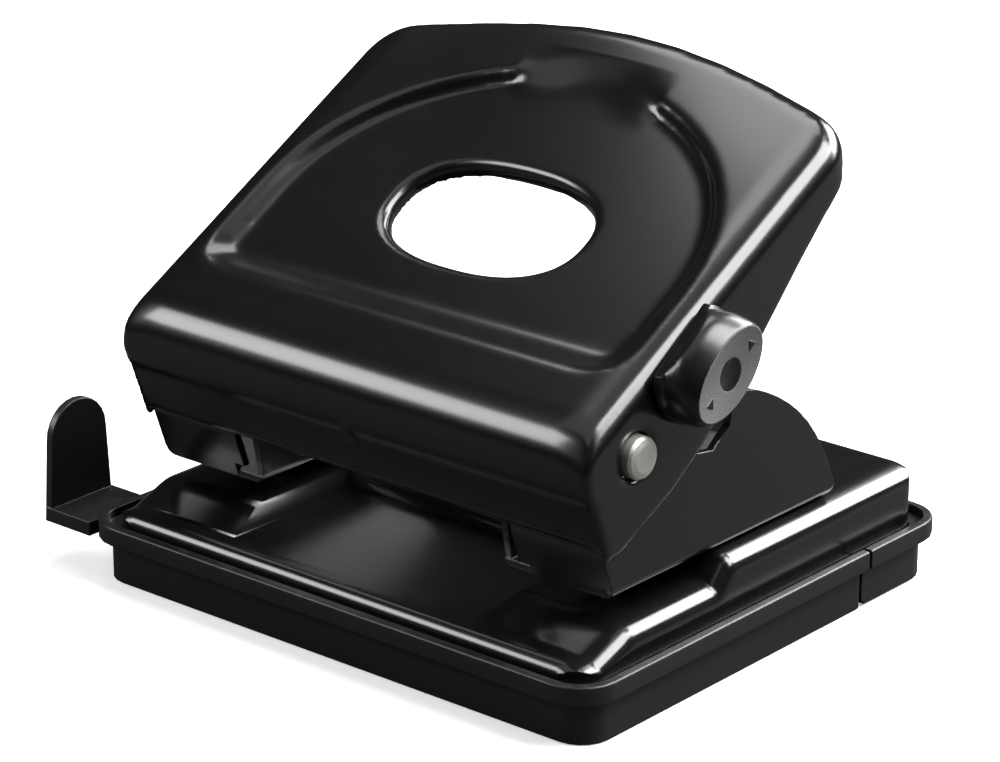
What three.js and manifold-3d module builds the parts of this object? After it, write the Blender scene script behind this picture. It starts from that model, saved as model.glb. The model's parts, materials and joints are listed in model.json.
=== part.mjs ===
// Two-hole office punch: a steel handle on two stub pins, two sprung punches in pressed brackets,
// a steel base plate on a plastic chip tray, a sliding paper guide and a turn-to-lock knob.
// Units are millimetres, +Z up.  X runs along the row of holes, +Y runs from the paper side to the
// free end of the handle.  The origin is the centre of the tray's underside.
import * as THREE from 'three';
import { mergeVertices } from 'three/addons/utils/BufferGeometryUtils.js';
import Module from 'manifold-3d';

const wasm = await Module();
wasm.setup();

// ---- driving dimensions -------------------------------------------------------------------
const GAP = 0.3; // clearance left between neighbouring pieces
const SHEET = 1.2; // steel sheet of the handle and the base plate
const BRACKET_SHEET = 1.5;
const HOLE_SPACING = 80; // between the two punched holes
const PUNCH_R = 2.75;

const HANDLE_W = HOLE_SPACING + 34.4; // the handle spans both punches and their brackets
const TRAY_W = HANDLE_W + 11.6; // over the rim, along X
const TRAY_D = 112; // over the rim, along Y
const TRAY_H = 12.3;
const RIM_H = 3.9;
const RIM_REACH_X = 2.2; // rim past the skirt at each end
const RIM_REACH_Y = 2.7; // rim past the skirt, front and rear
const RIM_WALL = 1.8;
const TRAY_WALL = 2;
const TRAY_FLOOR = 1.8;
const TRAY_CORNER_R = 8.2;
const POCKET_FLOOR = 10.4; // ledge level inside the rim
const FLAP_AXIS_Y = TRAY_D / 2 - 26.3;
const FLAP_AXIS_Z = 1.7;
const FLAP_RISE = 0.3; // the flap's underside stays clear of the table

const PLATE_INSET = 4.2; // from the rim's outside to the plate's outside
const PLATE_FRONT_Z = 14.3;
const PLATFORM_Z = 17.8; // top of the two die platforms
const PLATE_REAR_Z = 22.4;
const PLATFORM_RAMP_Y = 18 - TRAY_D / 2; // where the ramps reach the platforms
const STEP_FOOT_Y = -12.6; // foot of the step that stops the paper
const STEP_HEAD_Y = -8.4;
const TROUGH_HALF_W = 30; // low middle part of the table
const PUNCH_TO_STOP = 10; // hole centre to the foot of the step

const HANDLE_TILT = 28.5; // degrees, handle up
const PRESS = 27; // degrees of travel
const PIVOT_Y = -35.5;
const PIVOT_Z = 49.5;
const PANEL_RISE = 11.8; // pivot axis to the outside of the top panel
const HANDLE_REACH = 87; // pivot axis to the middle of the rear edge
const BOW = 7.1; // rear edge, middle past the corners
const REAR_CORNER_R = 11;
const FOLD_R = 3.6;
const ROLL_R = 10.6;
const DISH_DEPTH = 2.5;
const DISH_HALF_W = HANDLE_W / 2 - 5.2;
const FINGER_HOLE_A = 22.3;
const FINGER_HOLE_B = 12.8;
const FINGER_HOLE_Y = 35.8; // along the panel from the pivot axis
const FINGER_HOLE_SQUARENESS = 2.4; // 2 is a true ellipse

const PIN_R = 4;
const PIN_PROUD = 2.1;
const CHEEK_TO_BRACKET = 0.5;
const BRACKET_W = 25.5;
const BRACKET_BOTTOM = PLATE_REAR_Z + GAP;

const KNOB_ALONG = 19.3; // knob axis in the handle's own frame
const KNOB_RISE = 4.8;
const KNOB_OUT = 9.3; // cheek to the knob's face
const KNOB_LONG = 10.8; // half lengths of the knob's oval face
const KNOB_SHORT = 6.9;
const KNOB_SKEW = 7; // degrees, knob's length from the panel's line
const KNOB_TURN = 104; // degrees from free to locked
const SHAFT_R = 3;

const GUIDE_REACH = 13; // rim to the guide's stop
const GUIDE_STOP_W = 16.7;
const GUIDE_STOP_H = 23.6;
const GUIDE_T = 2;
const STRIP_H = 2.5;
const STRIP_Y0 = 5.5 - TRAY_D / 2;
const STRIP_Y1 = 17.5 - TRAY_D / 2;
const STRIP_BOTTOM = 7.4;
const STRIP_LENGTH = 111;

// ---- derived positions --------------------------------------------------------------------
const CHEEK_OUT = HANDLE_W / 2;
const CHEEK_IN = CHEEK_OUT - SHEET;
const BRACKET_OUT = CHEEK_IN - CHEEK_TO_BRACKET;
const BRACKET_IN = BRACKET_OUT - BRACKET_SHEET;
const BRACKET_FAR = BRACKET_OUT - BRACKET_W;
const SKIRT_X = TRAY_W / 2 - RIM_REACH_X;
const SKIRT_Y = TRAY_D / 2 - RIM_REACH_Y;
const PLATE_X = TRAY_W / 2 - PLATE_INSET;
const PLATE_Y = TRAY_D / 2 - PLATE_INSET + 0.6;
const PUNCH_X = HOLE_SPACING / 2;
const PUNCH_Y = STEP_FOOT_Y - PUNCH_TO_STOP;
const LEVER = PUNCH_Y - PIVOT_Y; // pivot axis to the punches
const STROKE = (LEVER * PRESS * Math.PI) / 180;
const WEB_TOP = BRACKET_BOTTOM + BRACKET_SHEET;
const PUNCH_TIP = BRACKET_BOTTOM + GAP;
const PAD_TILT = HANDLE_TILT - PRESS / 2; // the pads lie level at half travel
const PUNCH_DOME = 4;
const PAD_LIFT = PUNCH_DOME + GAP;
const PUNCH_TOP = PIVOT_Z + LEVER * Math.tan(((PRESS / 2) * Math.PI) / 180) + PUNCH_DOME - GAP;
const STRIP_TOP = STRIP_BOTTOM + STRIP_H;

// ---- helpers ------------------------------------------------------------------------------
const rad = (degrees) => (degrees * Math.PI) / 180;

function toSolid(geometry) {
  const plain = geometry.index ? geometry.toNonIndexed() : geometry.clone();
  plain.deleteAttribute('normal');
  plain.deleteAttribute('uv');
  const welded = mergeVertices(plain, 1e-4);
  return new wasm.Manifold(
    new wasm.Mesh({
      numProp: 3,
      vertProperties: Float32Array.from(welded.attributes.position.array),
      triVerts: Uint32Array.from(welded.index.array),
    }),
  );
}

function toGeometry(solid) {
  const mesh = solid.getMesh();
  const geometry = new THREE.BufferGeometry();
  geometry.setAttribute('position', new THREE.BufferAttribute(mesh.vertProperties, 3));
  geometry.setIndex(new THREE.BufferAttribute(mesh.triVerts, 1));
  geometry.computeVertexNormals();
  return geometry;
}

// Axis frames for extrusions: the outline is drawn in (Y, Z), (Z, X) or (X, Y).
const FRAMES = {
  x: [new THREE.Vector3(0, 1, 0), new THREE.Vector3(0, 0, 1), new THREE.Vector3(1, 0, 0)],
  y: [new THREE.Vector3(0, 0, 1), new THREE.Vector3(1, 0, 0), new THREE.Vector3(0, 1, 0)],
  z: [new THREE.Vector3(1, 0, 0), new THREE.Vector3(0, 1, 0), new THREE.Vector3(0, 0, 1)],
};

// A solid with the given outline between two stations of an axis.  rounding eases its end edges
// and inset shrinks the outline.
function prism(axis, outline, from, to, rounding = 0, inset = 0, steps = 4) {
  const shape = new THREE.Shape(outline.map(([a, b]) => new THREE.Vector2(a, b)));
  const soft = rounding > 0 || inset > 0;
  const geometry = new THREE.ExtrudeGeometry(shape, {
    depth: to - from - 2 * rounding,
    bevelEnabled: soft,
    bevelThickness: rounding,
    bevelSize: rounding,
    bevelOffset: -rounding - inset,
    bevelSegments: rounding > 0 ? steps : 1,
    curveSegments: 1,
  });
  geometry.translate(0, 0, from + rounding);
  geometry.applyMatrix4(new THREE.Matrix4().makeBasis(...FRAMES[axis]));
  return toSolid(geometry);
}

function box(x0, x1, y0, y1, z0, z1) {
  const geometry = new THREE.BoxGeometry(x1 - x0, y1 - y0, z1 - z0);
  geometry.translate((x0 + x1) / 2, (y0 + y1) / 2, (z0 + z1) / 2);
  return toSolid(geometry);
}

// A turned solid along an axis through (a, b) of the axis frame; the profile is [radius, station].
function turned(axis, profile, a, b, sides = 32) {
  const geometry = new THREE.LatheGeometry(profile.map(([r, s]) => new THREE.Vector2(r, s)), sides);
  geometry.rotateX(Math.PI / 2);
  geometry.translate(a, b, 0);
  geometry.applyMatrix4(new THREE.Matrix4().makeBasis(...FRAMES[axis]));
  const solid = toSolid(geometry);
  if (solid.volume() > 0) {
    return solid;
  }
  return toSolid(flipped(geometry));
}

function flipped(geometry) {
  const plain = geometry.toNonIndexed();
  const p = plain.attributes.position;
  for (let i = 0; i < p.count; i += 3) {
    const [x, y, z] = [p.getX(i), p.getY(i), p.getZ(i)];
    p.setXYZ(i, p.getX(i + 1), p.getY(i + 1), p.getZ(i + 1));
    p.setXYZ(i + 1, x, y, z);
  }
  return plain;
}

const rod = (axis, r, from, to, a, b, sides = 32) =>
  turned(axis, [[0, from], [r, from], [r, to], [0, to]], a, b, sides);

const ring = (axis, inner, outer, from, to, a, b, sides = 32) =>
  turned(axis, [[inner, from], [outer, from], [outer, to], [inner, to], [inner, from]], a, b, sides);

// A closed loop through corners [x, y, r]; a corner with a radius is replaced by an arc.
function rounded(corners, steps = 5) {
  const loop = [];
  corners.forEach(([x, y, r = 0], i) => {
    if (!r) {
      loop.push([x, y]);
      return;
    }
    const at = new THREE.Vector2(x, y);
    const before = corners[(i + corners.length - 1) % corners.length];
    const after = corners[(i + 1) % corners.length];
    const u = new THREE.Vector2(before[0], before[1]).sub(at).normalize();
    const v = new THREE.Vector2(after[0], after[1]).sub(at).normalize();
    const half = Math.acos(THREE.MathUtils.clamp(u.dot(v), -1, 1)) / 2;
    const centre = u.clone().add(v).normalize().multiplyScalar(r / Math.sin(half)).add(at);
    const start = u.clone().multiplyScalar(r / Math.tan(half)).add(at).sub(centre);
    const end = v.clone().multiplyScalar(r / Math.tan(half)).add(at).sub(centre);
    let sweep = end.angle() - start.angle();
    if (sweep > Math.PI) {
      sweep -= 2 * Math.PI;
    }
    if (sweep < -Math.PI) {
      sweep += 2 * Math.PI;
    }
    for (let k = 0; k <= steps; k += 1) {
      const angle = start.angle() + (sweep * k) / steps;
      loop.push([centre.x + r * Math.cos(angle), centre.y + r * Math.sin(angle)]);
    }
  });
  return loop;
}

const roundedRect = (halfX, halfY, r, steps = 5) =>
  rounded([[halfX, -halfY, r], [halfX, halfY, r], [-halfX, halfY, r], [-halfX, -halfY, r]], steps);

// Points of an arc about (a, b); angles in degrees from the first axis.
function arc(a, b, r, from, to, steps) {
  const points = [];
  for (let k = 0; k <= steps; k += 1) {
    const angle = rad(from + ((to - from) * k) / steps);
    points.push([a + r * Math.cos(angle), b + r * Math.sin(angle)]);
  }
  return points;
}

const ellipse = (a, b, halfA, halfB, sides) =>
  arc(0, 0, 1, 0, 360 - 360 / sides, sides - 1).map(([c, s]) => [a + halfA * c, b + halfB * s]);

const joined = (solids) => solids.reduce((whole, solid) => whole.add(solid));
const cut = (solid, tools) => tools.reduce((rest, tool) => rest.subtract(tool), solid);
const mirrored = (solid) => solid.mirror([1, 0, 0]);

// From the handle's own frame (pivot axis at the origin, panel level) to the handle-up pose.
const raised = (solid) => solid.rotate([HANDLE_TILT, 0, 0]).translate([0, PIVOT_Y, PIVOT_Z]);

const group = new THREE.Group();
group.name = 'hole_punch';

function piece(name, solid, colour, roughness, metalness) {
  const material = new THREE.MeshStandardMaterial({ color: colour, roughness, metalness });
  material.name = name;
  const mesh = new THREE.Mesh(toGeometry(solid), material);
  mesh.name = name;
  group.add(mesh);
}

function pair(name, right, colour, roughness, metalness) {
  piece(`${name}_right`, right, colour, roughness, metalness);
  piece(`${name}_left`, mirrored(right), colour, roughness, metalness);
}

const PLASTIC = [0x3a3a3c, 0.6, 0.0];
const LACQUER = [0x0c0c0e, 0.18, 0.4];
const NICKEL = [0xc9c9c6, 0.25, 1.0];
const SPRING = [0x9a9a98, 0.35, 1.0];

// ---- chip tray and its rear flap ----------------------------------------------------------
const skirtInX = SKIRT_X - TRAY_WALL;
const skirtInY = SKIRT_Y - TRAY_WALL;
const rimBottom = TRAY_H - RIM_H;
const trayShell = cut(
  joined([
    prism('z', roundedRect(SKIRT_X, SKIRT_Y, TRAY_CORNER_R - 2), 0, rimBottom + 0.5),
    prism('z', roundedRect(TRAY_W / 2, TRAY_D / 2, TRAY_CORNER_R), rimBottom, TRAY_H, 0.5, 0, 2),
  ]),
  [
    prism('z', roundedRect(skirtInX, skirtInY, TRAY_CORNER_R - 4), TRAY_FLOOR, TRAY_H + 1),
    prism(
      'z',
      roundedRect(TRAY_W / 2 - RIM_WALL, TRAY_D / 2 - RIM_WALL, TRAY_CORNER_R - RIM_WALL),
      POCKET_FLOOR,
      TRAY_H + 1,
    ),
  ],
);

// Ribs that carry the base plate's skirt, on the side walls and the rear wall.
const ribReach = 3.6;
const sideRib = (y) => box(skirtInX - ribReach, skirtInX + 0.5, y - 0.8, y + 0.8, 1, POCKET_FLOOR);
const rearRib = (x) => box(x - 0.8, x + 0.8, skirtInY - ribReach, skirtInY + 0.5, 1, POCKET_FLOOR);
const ribs = [-28, -6, 16, 42].flatMap((y) => [sideRib(y), mirrored(sideRib(y))]);
const rearRibs = [-36, 0, 36].map(rearRib);

// Channel of the paper guide: a wall behind the strip and low bearers under it.
const channelWallY = STRIP_Y1 + 0.5;
const channelWall = box(-skirtInX - 0.5, skirtInX + 0.5, channelWallY, channelWallY + 1.4, 1, POCKET_FLOOR);
const bearers = [-46, -8, 28].map((x) =>
  box(x - 1, x + 1, -skirtInY - 0.5, channelWallY + 0.5, 1, STRIP_BOTTOM - GAP));
const guideSlot = box(
  -TRAY_W / 2 - 1,
  -skirtInX + 5,
  STRIP_Y0 - GAP,
  STRIP_Y1 + GAP,
  STRIP_BOTTOM - GAP,
  STRIP_TOP + GAP,
);

// The flap snaps on two ears of the tray and swings down about their pegs.
const EAR_X = 32;
const EAR_T = 2;
const EAR_R = 1.7;
const PEG_R = 0.85;
const PEG_FIT = 0.25;
const splitFront = FLAP_AXIS_Y - 0.4;
const splitRear = FLAP_AXIS_Y + 0.4;
const ear = (x) =>
  cut(
    joined([
      rod('x', EAR_R, x - EAR_T / 2, x + EAR_T / 2, FLAP_AXIS_Y, FLAP_AXIS_Z, 20),
      box(x - EAR_T / 2, x + EAR_T / 2, splitFront - 3, FLAP_AXIS_Y, 0, 2 * FLAP_AXIS_Z),
    ]),
    [rod('x', PEG_R + PEG_FIT, x - EAR_T, x + EAR_T, FLAP_AXIS_Y, FLAP_AXIS_Z, 16)],
  );
const earBay = (x) =>
  box(x - EAR_T / 2 - GAP, x + EAR_T / 2 + GAP, splitFront - 1, FLAP_AXIS_Y + EAR_R + GAP, -1, 4.2);
const pegHolder = (x) =>
  joined([
    rod('x', PEG_R, x - EAR_T, x + EAR_T, FLAP_AXIS_Y, FLAP_AXIS_Z, 16),
    ...[-1, 1].map((side) =>
      joined([
        rod(
          'x',
          EAR_R - 0.2,
          x + side * (EAR_T + 0.3) - 1,
          x + side * (EAR_T + 0.3) + 1,
          FLAP_AXIS_Y,
          FLAP_AXIS_Z,
          20,
        ),
        box(
          x + side * (EAR_T + 0.3) - 1,
          x + side * (EAR_T + 0.3) + 1,
          FLAP_AXIS_Y,
          splitRear + 4,
          FLAP_AXIS_Z - 0.9,
          FLAP_AXIS_Z + 1.5,
        ),
      ])),
  ]);
const holderBay = (x) =>
  box(x - EAR_T - 1.8, x + EAR_T + 1.8, FLAP_AXIS_Y - EAR_R - 0.3, splitRear, -1, 4.2);

const far = 200;
const trayFront = cut(joined([trayShell, channelWall, ...bearers, ...ribs.slice(0, 6)]), [
  guideSlot,
  box(-far, far, splitFront, far, -1, far),
  ...[-EAR_X, EAR_X].map(holderBay),
]);
piece('chip_tray', joined([trayFront, ...[-EAR_X, EAR_X].map(ear)]), ...PLASTIC);

const flapShell = cut(joined([trayShell, ...ribs.slice(6), ...rearRibs]), [
  box(-far, far, -far, splitRear, -1, far),
  box(-far, far, -far, far, -1, FLAP_RISE),
  prism(
    'x',
    [
      [splitRear - 1, FLAP_AXIS_Z],
      [splitRear, FLAP_AXIS_Z],
      [splitRear + 1.3, -0.2],
      [splitRear - 1, -0.2],
    ],
    -far,
    far,
  ),
  ...[-EAR_X, EAR_X].map(earBay),
]);
piece('tray_flap', joined([flapShell, ...[-EAR_X, EAR_X].map(pegHolder)]), ...PLASTIC);

// ---- base plate ---------------------------------------------------------------------------
// Side outline of the pressing, from the front edge over the platforms to the rear edge.
const plateFoot = POCKET_FLOOR + GAP;
const plateOutline = rounded(
  [
    [-PLATE_Y, 0],
    [-PLATE_Y, PLATE_FRONT_Z, 2.7],
    [-PLATE_Y + 5.4, PLATE_FRONT_Z, 3],
    [PLATFORM_RAMP_Y, PLATFORM_Z, 8],
    [STEP_FOOT_Y, PLATFORM_Z, 1.6],
    [STEP_HEAD_Y, PLATE_REAR_Z, 2.8],
    [PLATE_Y, PLATE_REAR_Z, 3.4],
    [PLATE_Y, 0],
  ].reverse(),
  4,
);
const EDGE_R = 2.2;
const plateOuter = prism('x', plateOutline, -PLATE_X, PLATE_X, EDGE_R);
const plateInner = prism('x', plateOutline, -PLATE_X + SHEET, PLATE_X - SHEET, EDGE_R - SHEET, SHEET, 3);
const plateCorner = 6.4;

// The trough in the middle of the table, open to the front edge; drop is its depth below the sheet.
const trough = (drop, spread) =>
  prism(
    'y',
    [
      [PLATE_FRONT_Z - drop, -TROUGH_HALF_W - spread],
      [PLATFORM_Z + 3, -TROUGH_HALF_W - spread - 4.5],
      [PLATFORM_Z + 3, TROUGH_HALF_W + spread + 4.5],
      [PLATE_FRONT_Z - drop, TROUGH_HALF_W + spread],
    ],
    -far,
    STEP_FOOT_Y - 0.4 + spread,
  );
const plateSkin = cut(
  plateOuter
    .subtract(trough(0, 0))
    .intersect(prism('z', roundedRect(PLATE_X, PLATE_Y, plateCorner), plateFoot, far)),
  [
    plateInner
      .subtract(trough(SHEET, SHEET))
      .intersect(prism('z', roundedRect(PLATE_X - SHEET, PLATE_Y - SHEET, plateCorner - SHEET), -far, far)),
  ],
);
const dieHole = (x) => rod('z', PUNCH_R + 0.25, 0, far, x, PUNCH_Y, 32);
const RIVET_X = BRACKET_OUT - BRACKET_W / 2;
const RIVET_YS = [2, 20];
const RIVET_R = 1.8;
const rivetHole = (x, y) => rod('z', RIVET_R + GAP, 0, far, x, y, 20);
const allRivets = RIVET_YS.flatMap((y) => [rivetHole(RIVET_X, y), rivetHole(-RIVET_X, y)]);
piece('base_plate', cut(plateSkin, [dieHole(PUNCH_X), dieHole(-PUNCH_X), ...allRivets]), ...LACQUER);

// ---- brackets -----------------------------------------------------------------------------
// Where the knob's axis lies once the handle is down.
const downTilt = rad(HANDLE_TILT - PRESS);
const lockY = PIVOT_Y + KNOB_ALONG * Math.cos(downTilt) - KNOB_RISE * Math.sin(downTilt);
const lockZ = PIVOT_Z + KNOB_ALONG * Math.sin(downTilt) + KNOB_RISE * Math.cos(downTilt);
const HUB_R = 4.5;
const LIP_IN = HUB_R + 0.4;
const TOE_IN = 8.6;
const TOE_OUT = 10.6;
const LIP_OUT = TOE_IN - GAP;
const SLOT_OUT = TOE_OUT + GAP;
const bracketLift = PIVOT_Z - 49.5; // the brackets' upper outline follows the pivot
const lipTop = bracketLift + 51;
const lipAngle = (Math.acos((lockZ - lipTop) / LIP_IN) * 180) / Math.PI;
const lobeR = 6;

// Outer wall, drawn in (Y, Z): hump, lock notch with its curved slot, pivot lobe, front edge.
const risen = (z) => BRACKET_BOTTOM + ((z - 22.7) * (PIVOT_Z - BRACKET_BOTTOM)) / 26.8; // hump heights follow the pivot
const hump = [
  [26.3, 27.6],
  [24.9, 30.6],
  [23.1, 33.6],
  [20.9, 36.9],
  [18.3, 40.1],
  [15.2, 43.1],
  [12, 45.6],
  [8.4, 47.9],
  [5, 49.7],
  [1.6, 51.1],
  [-1.2, 51.9],
  [-3.6, 51.6],
  [-5.2, 50.3],
  [-5.8, 48.4],
].map(([y, z]) => [y, risen(z)]);
const wallOutline = rounded([
  [-39.2, BRACKET_BOTTOM],
  [26.5, BRACKET_BOTTOM, 0.5],
  [27.4, risen(25), 1],
  ...hump,
  [-6.2, 46.4 + bracketLift],
  [-8.9, 44.6 + bracketLift],
  [-11, 43 + bracketLift],
  ...arc(lockY, lockZ, SLOT_OUT, 270, 270 - 58, 6),
  ...arc(lockY, lockZ, LIP_OUT, 270 - 58, 270 - 12, 4),
  ...arc(lockY, lockZ, LIP_IN, 270 - 12, 270 - lipAngle, 3),
  ...arc(PIVOT_Y, PIVOT_Z, lobeR, 14.5, 180, 10),
  [-42.2, 38 + bracketLift],
  [-41.7, 33],
], 3);
const wall = prism('x', wallOutline, BRACKET_IN, BRACKET_OUT);

// Inner wall: lower, with its own pivot lobe.
const innerOutline = [
  [-38.5, BRACKET_BOTTOM],
  [26.4, BRACKET_BOTTOM],
  [24, 30],
  [4, 37 + bracketLift],
  [-18, 39 + bracketLift],
  [-28, 45 + bracketLift],
  ...arc(PIVOT_Y, PIVOT_Z, lobeR, 20, 180, 10),
  [-41.5, 38 + bracketLift],
];
const innerWall = prism('x', innerOutline, BRACKET_FAR, BRACKET_FAR + BRACKET_SHEET);
const web = box(BRACKET_FAR, BRACKET_OUT, -39.2, 26.4, BRACKET_BOTTOM, WEB_TOP);

// Front flange, sloping back under the handle's skirt; its inner lower corner is stepped.
const flangeIn = BRACKET_FAR + 4;
const flangeShape = [
  [-39.2, BRACKET_BOTTOM],
  [-39.7, 24.5],
  [-42.5, 32.4],
  [-42.5, 35.6],
  [-41, 35.6],
  [-41, 32.7],
  [-38.1, 24.6],
  [-37.6, BRACKET_BOTTOM],
];
const flange = cut(prism('x', flangeShape, flangeIn, BRACKET_OUT), [
  box(flangeIn - 1, flangeIn + 2.4, -50, -36, 20, 25.6),
  box(BRACKET_OUT - 1.6, BRACKET_OUT + 1, -50, -36, 20, 24.4),
]);
const bendSection = rounded(
  [
    [BRACKET_BOTTOM, BRACKET_FAR, 2],
    [80, BRACKET_FAR],
    [80, BRACKET_OUT],
    [BRACKET_BOTTOM, BRACKET_OUT, 2],
  ].reverse(),
  4,
);
const BUSH_R = 4.2;
const bracket = cut(
  joined([wall, innerWall, web, flange]).intersect(prism('y', bendSection, -60, 40)),
  [
    rod('x', PIN_R + 0.25, 0, 100, PIVOT_Y, PIVOT_Z),
    rod('z', BUSH_R + GAP, 0, 30, PUNCH_X, PUNCH_Y),
    ...RIVET_YS.map((y) => rivetHole(RIVET_X, y)),
  ],
);
pair('bracket', bracket, ...LACQUER);

const rivetSpans = [PLATE_REAR_Z - SHEET - GAP, WEB_TOP + GAP];
const rivet = (y) =>
  turned(
    'z',
    [
      [0, rivetSpans[0] - 1],
      [2.9, rivetSpans[0] - 1],
      [2.9, rivetSpans[0]],
      [RIVET_R, rivetSpans[0]],
      [RIVET_R, rivetSpans[1]],
      [3.4, rivetSpans[1]],
      [3.1, rivetSpans[1] + 0.7],
      [2, rivetSpans[1] + 1.25],
      [0, rivetSpans[1] + 1.5],
    ],
    RIVET_X,
    y,
    24,
  );
pair('foot_rivet_front', rivet(RIVET_YS[0]), ...NICKEL);
pair('foot_rivet_rear', rivet(RIVET_YS[1]), ...NICKEL);

// ---- punch guides, punches, clips, springs --------------------------------------------------
const bushTop = 31;
const collarTop = WEB_TOP + GAP + 1.2;
const bush = turned(
  'z',
  [
    [PUNCH_R + 0.2, BRACKET_BOTTOM],
    [BUSH_R, BRACKET_BOTTOM],
    [BUSH_R, WEB_TOP + GAP],
    [5.4, WEB_TOP + GAP],
    [5.4, collarTop],
    [3.9, collarTop],
    [3.9, bushTop],
    [PUNCH_R + 0.2, bushTop],
    [PUNCH_R + 0.2, BRACKET_BOTTOM],
  ],
  PUNCH_X,
  PUNCH_Y,
);
pair('punch_bush', bush, ...NICKEL);

const CLIP_Z = PUNCH_TOP - 4.6;
const CLIP_T = 0.8;
const NECK_R = 2.1;
const punch = turned(
  'z',
  [
    [0, PUNCH_TIP + 0.8],
    [PUNCH_R - 0.35, PUNCH_TIP],
    [PUNCH_R, PUNCH_TIP],
    [PUNCH_R, CLIP_Z - 0.15],
    [NECK_R, CLIP_Z - 0.15],
    [NECK_R, CLIP_Z + CLIP_T + 0.15],
    [PUNCH_R, CLIP_Z + CLIP_T + 0.15],
    [PUNCH_R, PUNCH_TOP - 1.1],
    [1.9, PUNCH_TOP - 0.48],
    [1, PUNCH_TOP - 0.13],
    [0, PUNCH_TOP],
  ],
  PUNCH_X,
  PUNCH_Y,
);
pair('punch', punch, ...NICKEL);

// The clip is a C, open to the rear.
const clip = cut(ring('z', NECK_R + 0.15, 4.9, CLIP_Z, CLIP_Z + CLIP_T, PUNCH_X, PUNCH_Y), [
  box(PUNCH_X - 1.7, PUNCH_X + 1.7, PUNCH_Y, PUNCH_Y + 8, CLIP_Z - 1, CLIP_Z + 2),
]);
pair('punch_clip', clip, ...SPRING);

// Return spring between the bush's collar and the clip, its end coils closing up.
class Helix extends THREE.Curve {
  constructor(radius, bottom, top, turns) {
    super();
    Object.assign(this, { radius, bottom, top, turns });
  }

  getPoint(t, target = new THREE.Vector3()) {
    const angle = 2 * Math.PI * this.turns * t;
    const eased = t + 0.035 * Math.sin(4 * Math.PI * t);
    const z = this.bottom + (this.top - this.bottom) * THREE.MathUtils.clamp(eased, 0, 1);
    return target.set(
      PUNCH_X + this.radius * Math.cos(angle),
      PUNCH_Y + this.radius * Math.sin(angle),
      z,
    );
  }
}
const WIRE_R = 0.42;
const springFoot = collarTop + GAP;
const springHead = CLIP_Z - GAP;
const wireSection = new THREE.Shape(arc(0, 0, WIRE_R, 0, 288, 4).map(([a, b]) => new THREE.Vector2(a, b)));
const springGeometry = new THREE.ExtrudeGeometry(wireSection, {
  steps: 105,
  bevelEnabled: false,
  curveSegments: 1,
  extrudePath: new Helix(4.4, springFoot + WIRE_R, springHead - WIRE_R, 7),
});
pair('return_spring', toSolid(springGeometry), ...SPRING);

// ---- pivot pins -----------------------------------------------------------------------------
const pinOut = CHEEK_OUT + PIN_PROUD;
const pinIn = BRACKET_FAR - 3;
const ringX = BRACKET_FAR - GAP - 0.9;
const pin = turned(
  'x',
  [
    [0, pinIn],
    [PIN_R - 0.5, pinIn],
    [PIN_R, pinIn + 0.5],
    [PIN_R, ringX - 0.1],
    [PIN_R - 0.8, ringX - 0.1],
    [PIN_R - 0.8, ringX + 0.9],
    [PIN_R, ringX + 0.9],
    [PIN_R, pinOut - 1.1],
    [PIN_R - 0.35, pinOut - 0.5],
    [PIN_R - 1.4, pinOut - 0.1],
    [0, pinOut],
  ],
  PIVOT_Y,
  PIVOT_Z,
  36,
);
pair('pivot_pin', pin, ...NICKEL);
const pinRing = cut(ring('x', PIN_R - 0.6, PIN_R + 2.2, ringX, ringX + 0.8, PIVOT_Y, PIVOT_Z), [
  box(0, 100, PIVOT_Y - 2.8, PIVOT_Y + 2.8, PIVOT_Z - 9, PIVOT_Z),
]);
pair('pin_ring', pinRing, ...SPRING);

// ---- handle -----------------------------------------------------------------------------------
// Plan outline along the panel: straight cheeks, rounded rear corners, bowed rear edge.
const bowPoints = [0.8, 0.6, 0.4, 0.2, 0, -0.2, -0.4, -0.6, -0.8].map((t) => [
  t * CHEEK_OUT,
  HANDLE_REACH - BOW * (t / 0.8) ** 2,
]);
const cornerY = HANDLE_REACH - BOW * 1.54;
const planOutline = rounded(
  [
    [-CHEEK_OUT, -25],
    [CHEEK_OUT, -25],
    [CHEEK_OUT, cornerY, REAR_CORNER_R],
    ...bowPoints,
    [-CHEEK_OUT, cornerY, REAR_CORNER_R],
  ],
  7,
);
// Side outline: hem, near-upright skirt, roll, panel.
const rollY = -3.1;
const rollZ = PANEL_RISE - ROLL_R;
const HEM_Z = -10.2;
const sideOutline = [
  [-16.9, -25],
  [-15.2, HEM_Z],
  ...arc(rollY, rollZ, ROLL_R, 188, 90, 12),
  [100, PANEL_RISE],
  [100, -25],
].reverse();
const handleOuter = prism('z', planOutline, -24, PANEL_RISE, FOLD_R).intersect(
  prism('x', sideOutline, -70, 70),
);
const handleInner = prism('z', planOutline, -40, PANEL_RISE - SHEET, FOLD_R - SHEET, SHEET).intersect(
  prism('x', sideOutline.map(([y, z]) => [y, z < -20 ? -40 : z]), -90, 90, 0.01, SHEET - 0.01, 1),
);

// Arched dish pressed into the panel, with a short tab at the back.
const dishOutline = rounded(
  [
    [-DISH_HALF_W, 5, 9],
    [DISH_HALF_W, 5, 9],
    ...arc(0, 0, 1, 0, 78, 14).map(([c, s]) => [DISH_HALF_W * c, 27 + 46.5 * s]),
    [9.5, 73.6],
    [7, 76],
    [-7, 76],
    [-9.5, 73.6],
    ...arc(0, 0, 1, 102, 180, 14).map(([c, s]) => [DISH_HALF_W * c, 27 + 46.5 * s]),
  ],
  4,
);
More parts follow.
